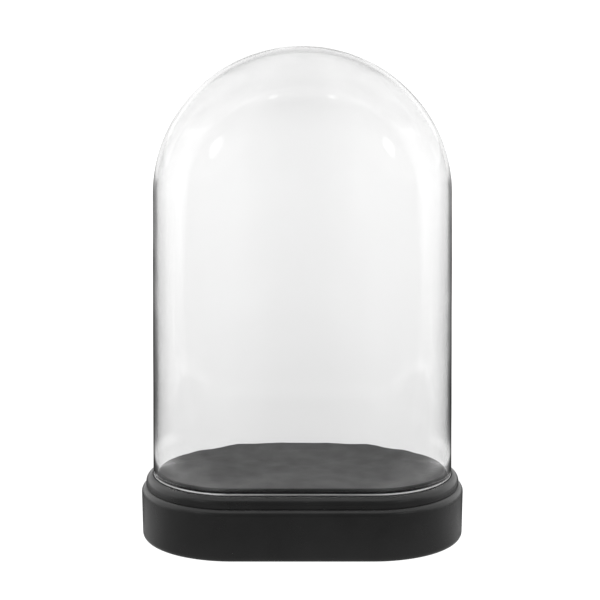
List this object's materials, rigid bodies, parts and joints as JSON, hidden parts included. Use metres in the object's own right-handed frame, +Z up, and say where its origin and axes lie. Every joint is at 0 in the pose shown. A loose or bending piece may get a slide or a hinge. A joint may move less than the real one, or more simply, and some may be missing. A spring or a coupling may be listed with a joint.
{
  "type": "oval glass display dome",
  "caption": "Oval clear glass bell jar with an arched top, lifting off a stepped black wooden base with a raised display deck.",
  "frame": {"origin": "centre of the base on the surface it stands on, at the foot pads' undersides", "axes": "+Z up, +X along the long side of the oval, the long front side faces -Y"},
  "size_m": [0.3096, 0.1748, 0.484],
  "materials": {
    "clear_glass": "clear blown glass, fire-polished rim",
    "black_lacquer": "satin black lacquer on moulded wood",
    "deck_lacquer": "satin black lacquer, flat board",
    "black_felt": "thin black felt strip",
    "black_board": "black stained fibreboard",
    "beech": "plain beech",
    "zinc_screw": "bright zinc plated",
    "pad_felt": "pressed felt pad"
  },
  "bodies": {
    "base": {"plinth": "black_lacquer", "step_moulding": "black_lacquer", "display_deck": "deck_lacquer", "bedding_strip": "black_felt", "base_panel": "black_board", "locating_dowels": "beech", "deck_screws": "zinc_screw", "panel_screws": "zinc_screw", "foot_pad_front_left": "pad_felt", "foot_pad_front_right": "pad_felt", "foot_pad_back_left": "pad_felt", "foot_pad_back_right": "pad_felt"},
    "dome": {"glass_dome": "clear_glass"}
  },
  "joints": [
    {"name": "dome_lift", "type": "slide", "parent": "base", "child": "dome", "axis": [0, 0, 1], "range_m": [0, 0.42]}
  ]
}
